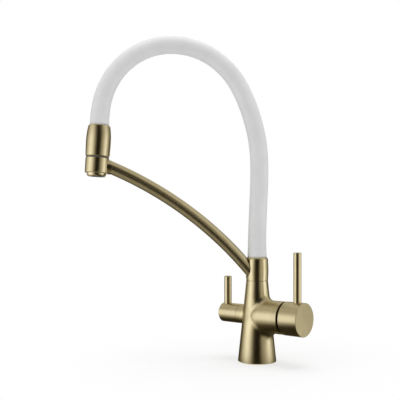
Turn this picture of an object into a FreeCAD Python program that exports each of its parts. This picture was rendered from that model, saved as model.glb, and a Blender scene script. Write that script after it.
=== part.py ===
import FreeCAD, Part
import os
from math import cos, degrees, pi, radians, sin, sqrt, tan

# Three way filtered kitchen tap: a conical brass body with a mixer on one side and a filtered
# water valve on the other, a swivelling arm with a dock ring, and a silicone spout hose.
# Millimetres. Z up, worktop at z = 0, cone axis on Z, valves along X with the mixer at +X.
# The spout is drawn in its own plane, s outward from the cone axis and z up, then turned.

Vec = FreeCAD.Vector

# ---- driving dimensions ---------------------------------------------------------------------

fit = 0.05  # radial play of a fit between pieces that stay together
running = 0.06  # radial play of a turning or sliding fit
clear = 0.3  # gap between curved faces that only pass each other

# cone of the body
base_d = 50.0
base_edge_r = 1.0
neck_d = 28.4
cone_h = 105.3
branch_drop = 20.0  # from the swivel socket's floor down to the valves' axis
gasket_d = 46.0
gasket_w = 3.0
gasket_h = 2.0

# block in the underside with the inlets and the fixing hole
block_d = 37.0
block_h = 15.0
inlet_bore_d = 9.0
inlet_depth = 12.0
inlet_x = 3.5
inlet_y = 10.0
stud_bore_d = 6.8
stud_depth = 12.5
back_pcd_x = -9.0
back_pcd_y = 5.5
passage_d = 6.4
filter_passage_d = 5.6
filter_port_drop = 2.0

# mixer branch and chamber
mixer_d = 42.0
mixer_len = 43.0
mixer_root_d = 35.0
mixer_flare = 15.0
mixer_flare_swell = 0.86
mixer_blend_r = 9.0
cartridge_d = 35.0
cartridge_len = 28.0
cartridge_wall = 1.8
cartridge_base_t = 3.0
nut_d = 38.0
nut_len = 5.4
nut_set_back = 0.6
nut_notches = 6
notch_w = 3.0
notch_depth = 2.0
nut_bore_d = 24.0
port_d = 6.0
port_out = 8.0
port_drop = 6.5
port_rise = 8.0
seal_w = 2.0
seal_t = 1.2
peg_d = 3.0
peg_len = 2.5
peg_out = 12.8
disc_t = 2.5
moving_disc_t = 3.0
fixed_disc_d = 30.8
moving_disc_d = 24.0
disc_hollow_d = 13.2
disc_hollow_depth = 1.5
driver_t = 3.7
driver_width = 18.2
carrier_d = 30.8
carrier_neck_d = 21.8
carrier_neck_out = 1.0
pivot_depth = 9.5
stem_width = 8.0
stem_shoulder = 3.5
stem_tail_d = 4.0
stem_tail_len = 7.5
stem_ball_d = 4.4
pivot_pin_d = 3.0
tilt_max = 22.0

# mixer cap and lever
gap_w = 3.2
mixer_cap_d = 42.5
mixer_cap_len = 26.3
mixer_cap_wall = 1.5
mixer_cap_edge = 0.4
mixer_cap_cup = 10.0
dome_d = 36.8
dome_bore_d = 28.0
dome_len = 4.0
dome_edge_r = 2.0
stem_hold = 10.0
lever_d = 10.0
mixer_lever_in = 10.6
mixer_lever_top = 83.4
mixer_lever_edge_r = 1.0
lever_stud_d = 5.0
lever_stud_len = 3.0
mixer_lever_bed = 8.0
mixer_grub_in = 8.0

# filtered water branch, valve, cap and lever
filter_d = 25.6
filter_len = 26.2
filter_blend_r = 1.5
filter_seam = 0.3
filter_bore_d = 20.8
filter_seat_x = 13.2
headwork_flange_t = 2.2
headwork_neck_d = 15.0
headwork_len = 22.0
spindle_d = 8.0
spindle_hold = 10.0
spindle_splines = 8
spline_d = 0.9
spindle_ring_d = 1.2
spindle_ring_in = 5.0
window_w = 5.0
window_len = 3.5
filter_disc_d = 15.0
filter_disc_t = 2.0
filter_port_d = 4.4
filter_port_out = 3.9
filter_cap_len = 29.3
filter_cap_wall = 1.9
filter_cap_cup = 15.5
filter_cap_edge = 1.0
filter_lever_in = 7.0
filter_lever_top = 49.4
filter_lever_bed = 4.8
filter_lever_edge_r = 1.8
filter_grub_set = 3.0
filter_grub_in = 1.0
grub_d = 4.0
key_flats = 2.0
key_depth = 2.0

# swivel
swivel_play = 0.4
socket_d = 22.0
socket_depth = 25.3
glide_set_in = 0.5
post_lift = 0.8
post_top_d = 18.0
post_into_hose = 5.0
ring_groove_w = 2.4
ring_cord_d = 2.1
lower_ring_up = 4.0
feed_groove_up = 8.0
feed_groove_depth = 1.6
feed_hole_d = 2.4
upper_ring_up = 12.0
lock_groove_up = 18.0
lock_groove_w = 2.6
lock_groove_depth = 1.6
lock_screw_sunk = 0.6
feed_passage_d = 3.0
feed_passage_x = 13.0

# collar
collar_h = 30.2
collar_bulge = 0.5
collar_bulge_at = 0.55
collar_shoulder_h = 5.6
collar_shoulder_swell = 0.86
collar_rim_d = 25.0

# arm
spout_heading = 231.0
arm_d = 16.0
arm_wall = 1.5
arm_bend_r = 472.0
arm_root_z = 13.6
arm_root_s = 10.0
arm_recess_gap = 1.5
anchor_len = 14.0
anchor_pin_d = 8.0
anchor_pin_in = 2.0
spare_turn = 2.0  # degrees of bend drawn past a mitred end

# dock ring at the end of the arm
dock_reach = 206.4
dock_top_z = 261.9
head_tilt = 3.5
dock_d = 29.6
dock_h = 19.0
dock_bore_d = 26.4
liner_t = 0.6
boss_d = 17.8
boss_out = 2.5
boss_drop = 10.6
dock_edge = 0.6

# spray head
stem_d = 24.6
seat_washer_t = 1.4
seat_washer_d = 28.6
ferrule_h = 39.5
ferrule_foot_d = 30.0
ferrule_belly_d = 31.0
ferrule_belly_h = 20.0
ferrule_top_d = 27.0
ferrule_edge = 1.1
ferrule_cavity_d = 22.4
ferrule_crown_t = 7.0
nozzle_out = 4.2
nozzle_swell = 0.4
nozzle_side_gap = 0.3
nozzle_lip_d = 21.8
nozzle_thread_len = 10.0
nozzle_bore_d = 19.2
aerator_rim_t = 1.2
aerator_rim_d = 20.6
aerator_rim_lip = 1.0
aerator_h = 8.0
aerator_plate_t = 2.0
aerator_wall = 1.2
aerator_inner_pitch_d = 10.4
aerator_outer_pitch_d = 14.6
aerator_hole_d = 1.7
aerator_inner_holes = 12
aerator_outer_holes = 16
centre_outlet_d = 6.0
gasket_t = 1.5
manifold_turn = 6.0

# spout hose
hose_d = 23.5
hose_bore_d = 18.2
hose_flare_d = 25.0
hose_head_d = 24.2
hose_straight = 14.0
hose_lean = 3.0
hose_lean_z = 254.0
hose_apex_s = 109.0
hose_apex_z = 408.3
mixed_tube_d = 10.0
mixed_tube_bore_d = 7.0
filtered_tube_d = 6.0
filtered_tube_bore_d = 4.0
tube_gap = 0.6
barb_len = 8.0
barb_wall = 0.6
hose_end_bow = 0.1

# ---- places that follow from them -----------------------------------------------------------

socket_floor_z = cone_h - socket_depth
branch_z = socket_floor_z - branch_drop
lower_ring_z = socket_floor_z + lower_ring_up
feed_groove_z = socket_floor_z + feed_groove_up
upper_ring_z = socket_floor_z + upper_ring_up
lock_groove_z = socket_floor_z + lock_groove_up
mixer_cap_x = mixer_len + gap_w
mixer_lever_x = mixer_cap_x + mixer_cap_len - mixer_lever_in
filter_cap_x = filter_len + filter_seam
filter_lever_x = filter_cap_x + filter_cap_len - filter_lever_in
collar_z = cone_h + swivel_play
collar_top_z = collar_z + collar_h
dock_axis = Vec(-sin(radians(head_tilt)), 0, cos(radians(head_tilt)))
ferrule_z = seat_washer_t
head_top = ferrule_z + ferrule_h
mixed_tube_y = -(hose_bore_d / 2 - tube_gap - mixed_tube_d / 2)
filtered_tube_y = hose_bore_d / 2 - tube_gap - filtered_tube_d / 2
cartridge_top_x = mixer_len - nut_set_back - nut_len
cartridge_seat_x = cartridge_top_x - cartridge_len
pivot_x = cartridge_top_x - pivot_depth
stem_ball_x = pivot_x - stem_tail_len
fixed_disc_x = cartridge_seat_x + cartridge_base_t
moving_disc_x = fixed_disc_x + disc_t
driver_x = moving_disc_x + moving_disc_t
carrier_x = driver_x + driver_t + clear

# ---- drawing helpers ------------------------------------------------------------------------


def outline(points):
    """Closed XZ face. A point is (x, z), or (x, z, mid_x, mid_z) at the end of an arc."""
    edges = []
    last = Vec(points[0][0], 0, points[0][1])
    for point in points[1:] + [points[0][:2]]:
        here = Vec(point[0], 0, point[1])
        if here.distanceToPoint(last) < 1e-6:
            continue
        if len(point) == 4:
            edges.append(Part.Arc(last, Vec(point[2], 0, point[3]), here).toShape())
        else:
            edges.append(Part.LineSegment(last, here).toShape())
        last = here
    return Part.Face(Part.Wire(edges))


def turned(points):
    """Solid of revolution about Z of a profile given as radius and height."""
    return outline(points).revolve(Vec(0, 0, 0), Vec(0, 0, 1), 360)


def rod(d, z0, z1, x=0.0, y=0.0):
    return Part.makeCylinder(d / 2, z1 - z0, Vec(x, y, z0))


def tube(d, bore, z0, z1):
    return rod(d, z0, z1).cut(rod(bore, z0, z1))


def between(d, start, end):
    """Round rod from one point to another."""
    return Part.makeCylinder(d / 2, (end - start).Length, start, end - start)


def box(x0, x1, y0, y1, z0, z1):
    return Part.makeBox(x1 - x0, y1 - y0, z1 - z0, Vec(x0, y0, z0))


def ring(centre_d, cord_d, z):
    return Part.makeTorus(centre_d / 2, cord_d / 2, Vec(0, 0, z))


def quarter(x, z, r, sx, sz):
    """Arc end and mid of a rounded corner at (x, z), entered along z and left along x."""
    k = r * (1 - sqrt(0.5))
    return (x - sx * r, z, x - sx * k, z - sz * k)


def bowed(a, b, swell):
    """Arc end and mid from a to b, bowed to the right of the way it is drawn."""
    way_x, way_z = b[0] - a[0], b[1] - a[1]
    chord = sqrt(way_x ** 2 + way_z ** 2)
    mid_x = (a[0] + b[0]) / 2 + swell * way_z / chord
    mid_z = (a[1] + b[1]) / 2 - swell * way_x / chord
    return (b[0], b[1], mid_x, mid_z)


def to_mixer(shape):
    """Lays a piece drawn up Z onto the +X branch, its own X turned up."""
    shape.rotate(Vec(0, 0, 0), Vec(0, 1, 0), 90)
    shape.translate(Vec(0, 0, branch_z))
    return shape


def to_filter(shape):
    """Lays a piece drawn up Z onto the -X branch."""
    shape.rotate(Vec(0, 0, 0), Vec(0, 1, 0), -90)
    shape.translate(Vec(0, 0, branch_z))
    return shape


def to_spout(shape):
    shape.rotate(Vec(0, 0, 0), Vec(0, 0, 1), spout_heading)
    return shape


def to_head(shape):
    """From the head's own frame, z = 0 on top of the dock ring, to the spout's place."""
    shape.rotate(Vec(0, 0, 0), Vec(0, 1, 0), -head_tilt)
    shape.translate(Vec(dock_reach, 0, dock_top_z))
    return to_spout(shape)


# ---- body -----------------------------------------------------------------------------------


def cone_r(z):
    return base_d / 2 + (neck_d - base_d) / 2 * z / cone_h


def body_form():
    """Outside of the casting: the cone with its two branches blended in."""
    foot = quarter(base_d / 2, 0, base_edge_r, 1, -1)
    cone = turned([
        (0, 0),
        (foot[0], 0),
        (base_d / 2, base_edge_r, foot[2], foot[3]),
        (neck_d / 2, cone_h),
        (0, cone_h),
    ])
    root_r = mixer_root_d / 2
    end_r = mixer_d / 2
    mixer = to_mixer(turned([
        (0, 0),
        (root_r, 0),
        bowed((root_r, 0), (end_r, mixer_flare), mixer_flare_swell),
        (end_r, mixer_len),
        (0, mixer_len),
    ]))
    filtered = to_filter(rod(filter_d, 0, filter_len))
    form = blended(cone, mixer, mixer_blend_r)
    return blended(form, filtered, filter_blend_r)


def blended(form, branch, r):
    """Fuses a branch and rounds the corner where it leaves the form."""
    whole = form.fuse(branch)
    corner = []
    for edge in whole.Edges:
        mid = edge.valueAt((edge.FirstParameter + edge.LastParameter) / 2)
        point = Part.Vertex(mid)
        on_form = form.distToShape(point)[0] < 0.01 and not form.isInside(mid, 0.01, False)
        on_branch = branch.distToShape(point)[0] < 0.01 and not branch.isInside(mid, 0.01, False)
        own = any(shares(edge, old) for old in form.Edges + branch.Edges)
        if on_form and on_branch and not own:
            corner.append(edge)
    return whole.makeFillet(r, corner)


def shares(edge, old):
    """True where an edge lies along an edge that was there before the fuse."""
    a, b = edge.FirstParameter, edge.LastParameter
    probes = [edge.valueAt(a + (b - a) * k) for k in (0.25, 0.5, 0.75)]
    return all(old.distToShape(Part.Vertex(p))[0] < 0.01 for p in probes)


def body_casting():
    body = body_form()
    chamber = to_mixer(rod(cartridge_d + 2 * fit, cartridge_seat_x, mixer_len))
    thread = to_mixer(rod(nut_d + 2 * fit, cartridge_top_x - clear, mixer_len))
    body = body.cut([chamber, thread, filter_chamber(), swivel_socket()])
    block_seat = rod(block_d + 2 * fit, 0, block_h)
    return body.cut(waterways() + [base_groove(), lock_screw_hole(), block_seat])


def filter_chamber():
    return to_filter(rod(filter_bore_d + 2 * fit, filter_seat_x, filter_len))


def swivel_socket():
    return rod(socket_d, socket_floor_z, cone_h)


def base_groove():
    inner_d = gasket_d - 2 * gasket_w - 2 * fit
    return tube(gasket_d + 2 * fit, inner_d, 0, gasket_h + fit)


def lock_screw_hole():
    outer = cone_r(lock_groove_z) + 1
    inner = Vec(0, socket_d / 2 - 1, lock_groove_z)
    return between(grub_d + 2 * fit, inner, Vec(0, outer, lock_groove_z))


def waterways():
    """Drilled passages: two inlets to the mixer, one to the filter valve, and both ways up."""
    cuts = []
    port_z = branch_z - port_drop
    for side in (1, -1):
        cuts.append(rod(passage_d, block_h, port_z, inlet_x, side * inlet_y))
        start = Vec(inlet_x, side * port_out, port_z)
        cuts.append(between(port_d, start, Vec(cartridge_seat_x + 1, side * port_out, port_z)))
        peg = Vec(cartridge_seat_x, 0, branch_z) + peg_place(side)
        cuts.append(between(peg_d + 2 * fit, peg + Vec(-peg_len - clear, 0, 0), peg))
    filter_z = branch_z - filter_port_drop
    cuts.append(rod(filter_passage_d, block_h, filter_z, back_pcd_x, back_pcd_y))
    valve_in = Vec(-filter_seat_x - 1, back_pcd_y / 2, filter_z)
    cuts.append(between(filter_passage_d, Vec(back_pcd_x, back_pcd_y / 2, filter_z), valve_in))
    out_z = branch_z + port_rise
    cuts.append(between(port_d, Vec(cartridge_seat_x + 1, 0, out_z), Vec(inlet_x, 0, out_z)))
    cuts.append(rod(port_d, out_z, socket_floor_z + 1, inlet_x, 0))
    feed_top = Vec(-feed_passage_x, 0, feed_groove_z)
    cuts.append(between(feed_passage_d, Vec(-feed_passage_x, 0, branch_z), feed_top))
    cuts.append(between(feed_passage_d, feed_top, Vec(-socket_d / 2 + 1, 0, feed_groove_z)))
    return cuts


def peg_place(side):
    return Vec(0, side * peg_out, port_rise / 2)


def inlet_block():
    """Brass block pressed into the foot: three threaded inlets and the blind fixing hole."""
    block = rod(block_d, 0, block_h)
    holes = [rod(stud_bore_d, 0, stud_depth, back_pcd_x, -back_pcd_y)]
    for x, y, through in (
        (inlet_x, inlet_y, passage_d),
        (inlet_x, -inlet_y, passage_d),
        (back_pcd_x, back_pcd_y, filter_passage_d),
    ):
        holes.append(rod(inlet_bore_d, 0, inlet_depth, x, y))
        holes.append(rod(through, 0, block_h, x, y))
    return block.cut(holes)


def base_gasket():
    return tube(gasket_d, gasket_d - 2 * gasket_w, 0, gasket_h)


def glide_ring():
    """Plastic washer that shows as the dark seam under the collar."""
    return tube(neck_d - 2 * glide_set_in, socket_d, cone_h, cone_h + swivel_play)


def lock_screw():
    """Grub screw from the back, its dog in the post's groove."""
    tip = socket_d / 2 - lock_groove_depth + clear
    start = socket_d / 2
    end = cone_r(lock_groove_z) - lock_screw_sunk
    shank = between(grub_d, Vec(0, start, lock_groove_z), Vec(0, end, lock_groove_z))
    dog_d = lock_groove_w - 2 * clear
    dog = between(dog_d, Vec(0, tip, lock_groove_z), Vec(0, start, lock_groove_z))
    key = hexagon(key_flats, key_depth)
    key.rotate(Vec(0, 0, 0), Vec(1, 0, 0), -90)
    key.translate(Vec(0, end - key_depth, lock_groove_z))
    return shank.fuse(dog).cut(key)


def hexagon(flats, h):
    """Hexagonal prism up Z with the given width across its flats."""
    r = flats / 2 / cos(radians(30))
    points = [Vec(r * cos(radians(60 * k)), r * sin(radians(60 * k)), 0) for k in range(7)]
    return Part.Face(Part.makePolygon(points)).extrude(Vec(0, 0, h))


# ---- mixer ----------------------------------------------------------------------------------


def mixer_bar(d, z0, z1, up, side):
    """Rod along the branch in its lying frame: up is toward +Z, side toward +Y."""
    return Part.makeCylinder(d / 2, z1 - z0, Vec(-up, side, z0))


def port_places():
    """How far up and to the side the hot, cold and mixed ports are."""
    return ((-port_drop, port_out), (-port_drop, -port_out), (port_rise, 0))


def port_bars(z0, z1):
    return [mixer_bar(port_d, z0, z1, up, side) for up, side in port_places()]


def cartridge_base():
    """Plastic foot of the cartridge with its three ports, two pegs and seal grooves."""
    x = cartridge_seat_x
    foot = rod(cartridge_d, x, x + cartridge_base_t)
    for side in (1, -1):
        place = peg_place(side)
        foot = foot.fuse(mixer_bar(peg_d, x - peg_len, x, place.z, place.y))
    groove_d = port_d + 2 * seal_w
    grooves = [mixer_bar(groove_d, x, x + seal_t, up, side) for up, side in port_places()]
    return to_mixer(foot.cut(grooves + port_bars(x, x + cartridge_base_t)))


def cartridge_seals():
    """Three rubber rings in the foot, squeezed flat on the seat."""
    x = cartridge_seat_x
    seals = []
    for up, side in port_places():
        outer = mixer_bar(port_d + 2 * seal_w - 4 * fit, x, x + seal_t, up, side)
        seals.append(outer.cut(mixer_bar(port_d + 4 * fit, x, x + seal_t, up, side)))
    return to_mixer(Part.Compound(seals))


def cartridge_body():
    """Cartridge shell, open at the foot, with a neck hole in its top."""
    x0 = fixed_disc_x
    shell = rod(cartridge_d, x0, cartridge_top_x)
    inner = cartridge_d - 2 * cartridge_wall
    shell = shell.cut(rod(inner, x0, cartridge_top_x - cartridge_wall))
    shell = shell.cut(rod(carrier_neck_d + 2 * running, x0, cartridge_top_x))
    return to_mixer(shell)


def fixed_disc():
    """Ceramic disc with the hot, cold and mixed ports."""
    plate = rod(fixed_disc_d, fixed_disc_x, moving_disc_x)
    return to_mixer(plate.cut(port_bars(fixed_disc_x, moving_disc_x)))


def moving_disc():
    """Ceramic disc that covers the ports, hollowed so that it joins them when it slides."""
    plate = rod(moving_disc_d, moving_disc_x, driver_x)
    hollow = rod(disc_hollow_d, moving_disc_x, moving_disc_x + disc_hollow_depth)
    return to_mixer(plate.cut(hollow))


def disc_driver():
    """Slider on the moving disc, with flats for the carrier's rails and a pocket for the ball."""
    x1 = driver_x + driver_t
    plate = rod(moving_disc_d, driver_x, x1)
    flats = box(-moving_disc_d, moving_disc_d, -driver_width / 2, driver_width / 2, driver_x, x1)
    pocket = stem_ball_d / 2 + clear
    well = box(-pocket, pocket, -pocket, pocket, driver_x, x1)
    return to_mixer(plate.common(flats).cut(well))


def cartridge_carrier():
    """Turret that turns in the cartridge and holds the stem's pivot pin."""
    top = cartridge_top_x - cartridge_wall - clear / 2
    slot_y = stem_width / 2 + clear / 2
    turret = rod(carrier_d, driver_x + clear, top)
    turret = turret.fuse(rod(carrier_neck_d, top, cartridge_top_x + carrier_neck_out))
    rails = driver_width / 2 + clear / 2
    turret = turret.cut(box(-carrier_d, carrier_d, -rails, rails, driver_x + clear, carrier_x))
    reach = cartridge_top_x + carrier_neck_out - pivot_x
    low = stem_width / 2 / cos(radians(tilt_max)) + reach * tan(radians(tilt_max)) + clear
    tail = pivot_x - stem_ball_x
    high = stem_ball_d / 2 / cos(radians(tilt_max)) + tail * sin(radians(tilt_max)) + clear
    # the lying frame has up along its own -X
    turret = turret.cut(box(-high, low, -slot_y, slot_y, driver_x, cartridge_top_x + 2))
    return to_mixer(turret.cut(pin_bar(pivot_pin_d, carrier_d)))


def pin_bar(d, length):
    return between(d, Vec(0, -length / 2, pivot_x), Vec(0, length / 2, pivot_x))


def stem_pin():
    return to_mixer(pin_bar(pivot_pin_d - 2 * fit, carrier_d - 4 * clear))


def mixer_stem():
    """Steel stem: ball at the tail, pivot hole, square end held by the cap."""
    half = stem_width / 2
    end_x = mixer_cap_x + mixer_cap_cup + stem_hold
    shoulder_x = pivot_x - stem_shoulder
    bar = box(-half, half, -half, half, shoulder_x, end_x)
    bar = bar.fuse(rod(stem_tail_d, stem_ball_x, shoulder_x + 1))
    bar = bar.fuse(Part.makeSphere(stem_ball_d / 2, Vec(0, 0, stem_ball_x)))
    return to_mixer(bar.cut(pin_bar(pivot_pin_d, 2 * stem_width)))


def cartridge_nut():
    """Threaded ring that clamps the cartridge, with six driving notches."""
    x0 = cartridge_top_x
    nut = tube(nut_d, nut_bore_d, x0, x0 + nut_len)
    notches = []
    inner, outer = nut_bore_d / 2 - 1, nut_bore_d / 2 + notch_depth
    half, end = notch_w / 2, x0 + nut_len
    for k in range(nut_notches):
        notch = box(inner, outer, -half, half, end - notch_depth, end)
        notch.rotate(Vec(0, 0, 0), Vec(0, 0, 1), 360 / nut_notches * k)
        notches.append(notch)
    return to_mixer(nut.cut(notches))


def cover_dome():
    """Domed ring screwed over the nut, seen at the bottom of the gap behind the cap."""
    x0 = cartridge_top_x + nut_len
    x1 = mixer_len + dome_len
    outer = dome_d / 2
    crown = quarter(outer, x1, dome_edge_r, 1, 1)
    dome = turned([
        (dome_bore_d / 2, x0),
        (outer, x0),
        (outer, x1 - dome_edge_r),
        crown,
        (dome_bore_d / 2, x1),
    ])
    return to_mixer(dome)


def mixer_cap():
    """Cup over the stem: the lever's bed and the stem's square hole are in its thick end."""
    x0 = mixer_cap_x
    x1 = x0 + mixer_cap_len
    r = mixer_cap_d / 2
    edge = mixer_cap_edge
    cup_r = r - mixer_cap_wall
    floor_x = x0 + mixer_cap_cup
    cap = turned([
        (0, floor_x),
        (cup_r, floor_x),
        (cup_r, x0),
        (r - edge, x0),
        (r, x0 + edge),
        (r, x1 - edge),
        (r - edge, x1),
        (0, x1),
    ])
    half = stem_width / 2 + fit
    cap = cap.cut(box(-half, half, -half, half, floor_x, floor_x + stem_hold + fit))
    cap = to_mixer(cap)
    top = branch_z + r
    seat = top - mixer_lever_bed
    cap = cap.cut(rod(lever_d + 2 * fit, seat, top + 1, mixer_lever_x))
    cap = cap.cut(rod(lever_stud_d + 2 * fit, seat - lever_stud_len - fit, seat, mixer_lever_x))
    return cap.cut(mixer_grub_bar(grub_d + 2 * fit, -1.0))


def mixer_grub_bar(d, below):
    """Vertical bar under the stem, from the cap's underside to the stem's flat."""
    z0 = branch_z - mixer_cap_d / 2 + below
    x = mixer_cap_x + mixer_cap_cup + stem_hold / 2
    return rod(d, z0, branch_z - stem_width / 2, x)


def mixer_grub_screw():
    key = hexagon(key_flats, key_depth)
    x = mixer_cap_x + mixer_cap_cup + stem_hold / 2
    z0 = branch_z - mixer_cap_d / 2 + mixer_grub_in
    key.translate(Vec(x, 0, z0))
    return mixer_grub_bar(grub_d, mixer_grub_in).cut(key)


def lever(x, seat_z, top_z, edge_r):
    """Round lever with a threaded stud under it and a rounded top edge."""
    r = lever_d / 2
    corner = quarter(r, top_z, edge_r, 1, 1)
    stud_r = lever_stud_d / 2
    bar = turned([
        (0, seat_z - lever_stud_len),
        (stud_r, seat_z - lever_stud_len),
        (stud_r, seat_z),
        (r, seat_z),
        (r, top_z - edge_r),
        corner,
        (0, top_z),
    ])
    bar.translate(Vec(x, 0, 0))
    return bar


def mixer_lever():
    seat = branch_z + mixer_cap_d / 2 - mixer_lever_bed
    return lever(mixer_lever_x, seat, branch_z + mixer_lever_top, mixer_lever_edge_r)


# ---- filtered water valve -------------------------------------------------------------------


def filter_headwork():
    """Threaded brass body of the ceramic valve, with a side window for the water."""
    x0 = filter_seat_x + filter_disc_t
    neck = filter_cap_x + clear
    flange = neck + headwork_flange_t
    end = filter_seat_x + headwork_len
    head = turned([
        (0, x0),
        (filter_bore_d / 2, x0),
        (filter_bore_d / 2, flange),
        (headwork_neck_d / 2, flange),
        (headwork_neck_d / 2, end),
        (0, end),
    ])
    head = head.cut(rod(spindle_d + 2 * running, x0, end))
    head = head.cut(rod(filter_disc_d + 2 * clear, x0, x0 + 2 * filter_disc_t + clear))
    half = window_w / 2
    window = box(filter_disc_d / 2, filter_bore_d, -half, half, x0, x0 + window_len)
    return to_filter(head.cut(window))


def filter_fixed_disc():
    """Ceramic disc on the valve seat with two sector-like holes."""
    x0 = filter_seat_x
    plate = rod(filter_bore_d, x0, x0 + filter_disc_t)
    x1 = x0 + filter_disc_t
    holes = [rod(filter_port_d, x0, x1, 0, side * filter_port_out) for side in (1, -1)]
    return to_filter(plate.cut(holes))


def filter_moving_disc():
    x0 = filter_seat_x + filter_disc_t
    plate = rod(filter_disc_d, x0, x0 + filter_disc_t)
    x1 = x0 + filter_disc_t
    holes = [rod(filter_port_d, x0, x1, side * filter_port_out, 0) for side in (1, -1)]
    return to_filter(plate.cut(holes))


def filter_spindle():
    """Spindle with a driving plate for the disc, an o-ring groove and a splined end."""
    x0 = filter_seat_x + 2 * filter_disc_t
    end = filter_cap_x + filter_cap_cup + spindle_hold
    groove_x = spindle_ring_x() - 0.75 * spindle_ring_d
    floor_d = spindle_d - 2 * spindle_ring_d
    shaft = rod(filter_disc_d, x0, x0 + filter_disc_t).fuse(rod(spindle_d, x0, end))
    shaft = shaft.cut(tube(spindle_d + 1, floor_d, groove_x, groove_x + 1.5 * spindle_ring_d))
    splines = []
    for k in range(spindle_splines):
        groove = rod(spline_d, filter_cap_x + filter_cap_cup, end, spindle_d / 2)
        groove.rotate(Vec(0, 0, 0), Vec(0, 0, 1), 360 / spindle_splines * (k + 0.5))
        splines.append(groove)
    return to_filter(shaft.cut(splines))


def spindle_ring_x():
    return filter_seat_x + headwork_len - spindle_ring_in


def filter_o_ring():
    centre_d = spindle_d - spindle_ring_d + 2 * fit
    return to_filter(ring(centre_d, spindle_ring_d, spindle_ring_x()))


def filter_cap():
    """Turning sleeve of the filtered water valve, closed at its end."""
    x0 = filter_cap_x
    x1 = x0 + filter_cap_len
    r = filter_d / 2
    floor_x = x0 + filter_cap_cup
    edge = filter_cap_edge
    cap = turned([
        (0, floor_x),
        (r - filter_cap_wall, floor_x),
        (r - filter_cap_wall, x0),
        (r, x0),
        (r, x1 - edge),
        (r - edge, x1),
        (0, x1),
    ])
    cap = to_filter(cap.cut(rod(spindle_d + 2 * fit, floor_x, floor_x + spindle_hold + fit)))
    top = branch_z + r
    seat = top - filter_lever_bed
    cap = cap.cut(rod(lever_d + 2 * fit, seat, top + 1, -filter_lever_x))
    cap = cap.cut(rod(lever_stud_d + 2 * fit, seat - lever_stud_len - fit, seat, -filter_lever_x))
    return cap.cut(filter_grub_bar(grub_d + 2 * fit, -1.0))


def filter_grub_bar(d, below):
    """Vertical bar under the spindle, on the far side of the lever's hole."""
    x = -(filter_cap_x + filter_cap_cup + filter_grub_set)
    return rod(d, branch_z - filter_d / 2 + below, branch_z - spindle_d / 2, x)


def filter_grub_screw():
    key = hexagon(key_flats, key_depth)
    z0 = branch_z - filter_d / 2 + filter_grub_in
    key.translate(Vec(-(filter_cap_x + filter_cap_cup + filter_grub_set), 0, z0))
    return filter_grub_bar(grub_d, filter_grub_in).cut(key)


def filter_lever():
    seat = branch_z + filter_d / 2 - filter_lever_bed
    return lever(-filter_lever_x, seat, branch_z + filter_lever_top, filter_lever_edge_r)


# ---- swivel, collar and arm -----------------------------------------------------------------


def swivel_post():
    """Brass post that turns in the body, with ring grooves, the filtered water groove,
    the locking groove and a barb for each tube of the spout."""
    z0 = socket_floor_z + post_lift
    top = collar_top_z + post_into_hose
    r = socket_d / 2 - running
    post = rod(2 * r, z0, collar_z).fuse(rod(post_top_d, collar_z, top))
    for z, w, floor in (
        (lower_ring_z, ring_groove_w, ring_cord_d + 2 * fit),
        (upper_ring_z, ring_groove_w, ring_cord_d + 2 * fit),
        (feed_groove_z, feed_passage_d, feed_groove_depth),
        (lock_groove_z, lock_groove_w, lock_groove_depth),
    ):
        post = post.cut(tube(socket_d + 2, 2 * (r - floor), z - w / 2, z + w / 2))
    for y, bore, start in (
        (mixed_tube_y, mixed_tube_bore_d, z0),
        (filtered_tube_y, filtered_tube_bore_d, feed_groove_z),
    ):
        barb = bore - 2 * fit
        post = post.fuse(rod(barb, top, top + barb_len, 0, y))
        post = post.cut(rod(barb - 2 * barb_wall, start, top + barb_len, 0, y))
    inner = Vec(0, filtered_tube_y, feed_groove_z)
    side = between(feed_hole_d, inner, Vec(0, r, feed_groove_z))
    return to_spout(post.cut(side))


def swivel_rings():
    centre = socket_d - ring_cord_d - 2 * running - 2 * fit
    rings = [ring(centre, ring_cord_d, z) for z in (lower_ring_z, upper_ring_z)]
    return to_spout(Part.Compound(rings))


def collar_profile():
    """Outer line of the collar: barrel side, rounded shoulder, rim under the hose."""
    r = neck_d / 2
    shoulder_z = collar_top_z - collar_shoulder_h
    belly_z = collar_z + collar_bulge_at * collar_h
    rim = collar_rim_d / 2
    return [
        (r, collar_z),
        (r, shoulder_z, r + collar_bulge, belly_z),
        bowed((r, shoulder_z), (rim, collar_top_z), collar_shoulder_swell),
    ]


def swivel_collar():
    bore = post_top_d / 2 + fit
    shell = turned([(bore, collar_z)] + collar_profile() + [(bore, collar_top_z)])
    reach = 3 * arm_d
    recess_d = arm_d + 2 * arm_recess_gap
    start = arm_root()
    recess = between(recess_d, start - arm_root_line() * reach, start + arm_root_line() * reach)
    recess = recess.common(box(arm_root_s, 2 * reach, -reach, reach, 0, collar_top_z + reach))
    shell = shell.cut(recess)
    return to_spout(shell.cut(anchor_pin_bar(anchor_pin_d + 2 * fit, 1.0)))


def arm_root():
    """Centre of the arm's mitred end, on the floor of the collar's recess."""
    return Vec(arm_root_s, 0, collar_z + arm_root_z)


def boss_plane_point():
    """Centre of the flat face of the dock ring's boss, where the arm ends."""
    along = boss_direction()
    start = Vec(dock_reach, 0, dock_top_z) - dock_axis * boss_drop
    return start + along * (dock_d / 2 + boss_out)


def boss_direction():
    """From the ring's axis toward the body, square to the ring's axis."""
    return Vec(-cos(radians(head_tilt)), 0, -sin(radians(head_tilt)))


def arm_centre():
    """Centre of the arm's bend: below the arm, at arm_bend_r from both of its ends."""
    a, b = arm_root(), boss_plane_point()
    chord = b - a
    half = chord.Length / 2
    square = Vec(chord.z, 0, -chord.x).normalize()
    return (a + b) * 0.5 + square * sqrt(arm_bend_r ** 2 - half ** 2)


def arm_root_line():
    """Direction of the arm's line at the collar, pointing outward."""
    spoke = arm_root() - arm_centre()
    return Vec(spoke.z, 0, -spoke.x).normalize()


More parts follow.
